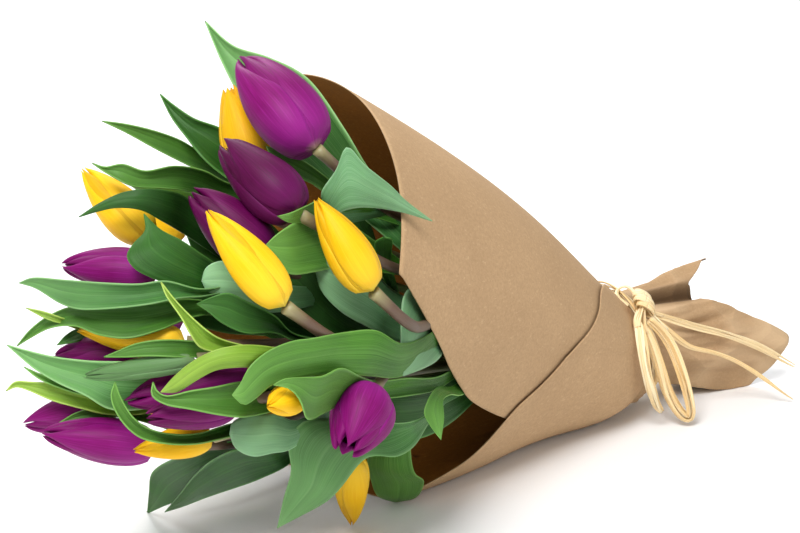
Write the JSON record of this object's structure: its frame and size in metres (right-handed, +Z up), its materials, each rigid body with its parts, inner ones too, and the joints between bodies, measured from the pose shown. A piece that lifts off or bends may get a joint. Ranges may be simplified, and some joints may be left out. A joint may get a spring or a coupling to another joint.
{
  "type": "flower bouquet",
  "caption": "Bouquet of purple and yellow tulips wrapped in a cone of brown kraft paper, tied with raffia and lying on its side.",
  "frame": {"origin": "on the surface that the bouquet lies on, under the middle of its box, without the free raffia", "axes": "+Z up; -X towards the flowers, +X towards the twisted tail of the paper; the side where the paper's edges cross faces -Y"},
  "size_m": [0.4981, 0.252, 0.2452],
  "materials": {
    "kraft_paper": "matte brown kraft paper",
    "raffia": "dry straw-coloured fibre",
    "purple_petals": "silky petal",
    "yellow_petals": "silky petal",
    "green_bud": "dull green",
    "stems_and_leaves": "waxy leaf"
  },
  "bodies": {
    "root": {"green_bud": "green_bud", "green_bud_leafy_stem": "stems_and_leaves", "kraft_paper": "kraft_paper", "purple_bottom_bloom": "purple_petals", "purple_bottom_leafy_stem": "stems_and_leaves", "purple_facing_bloom": "purple_petals", "purple_facing_leafy_stem": "stems_and_leaves", "purple_far_low_bloom": "purple_petals", "purple_far_low_leafy_stem": "stems_and_leaves", "purple_far_top_bloom": "purple_petals", "purple_far_top_leafy_stem": "stems_and_leaves", "purple_frill_bloom": "purple_petals", "purple_frill_leafy_stem": "stems_and_leaves", "purple_front_bloom": "purple_petals", "purple_front_leafy_stem": "stems_and_leaves", "purple_left_bloom": "purple_petals", "purple_left_leafy_stem": "stems_and_leaves", "purple_low_left_bloom": "purple_petals", "purple_low_left_leafy_stem": "stems_and_leaves", "purple_middle_bloom": "purple_petals", "purple_middle_leafy_stem": "stems_and_leaves", "purple_tip_bloom": "purple_petals", "purple_tip_leafy_stem": "stems_and_leaves", "purple_top_bloom": "purple_petals", "purple_top_leafy_stem": "stems_and_leaves", "purple_upper_bloom": "purple_petals", "purple_upper_leafy_stem": "stems_and_leaves", "raffia_band": "raffia", "raffia_end_lower": "raffia", "raffia_end_upper": "raffia", "raffia_knot": "raffia", "raffia_loop_inner": "raffia", "raffia_loop_outer": "raffia", "yellow_behind_bloom": "yellow_petals", "yellow_behind_leafy_stem": "stems_and_leaves", "yellow_bottom_bloom": "yellow_petals", "yellow_bottom_leafy_stem": "stems_and_leaves", "yellow_far_bloom": "yellow_petals", "yellow_far_leafy_stem": "stems_and_leaves", "yellow_hanging_bloom": "yellow_petals", "yellow_hanging_leafy_stem": "stems_and_leaves", "yellow_left_bloom": "yellow_petals", "yellow_left_leafy_stem": "stems_and_leaves", "yellow_middle_bloom": "yellow_petals", "yellow_middle_leafy_stem": "stems_and_leaves", "yellow_right_bloom": "yellow_petals", "yellow_right_leafy_stem": "stems_and_leaves", "yellow_small_bloom": "yellow_petals", "yellow_small_leafy_stem": "stems_and_leaves", "yellow_top_bloom": "yellow_petals", "yellow_top_leafy_stem": "stems_and_leaves", "yellow_under_bloom": "yellow_petals", "yellow_under_leafy_stem": "stems_and_leaves"}
  },
  "joints": []
}
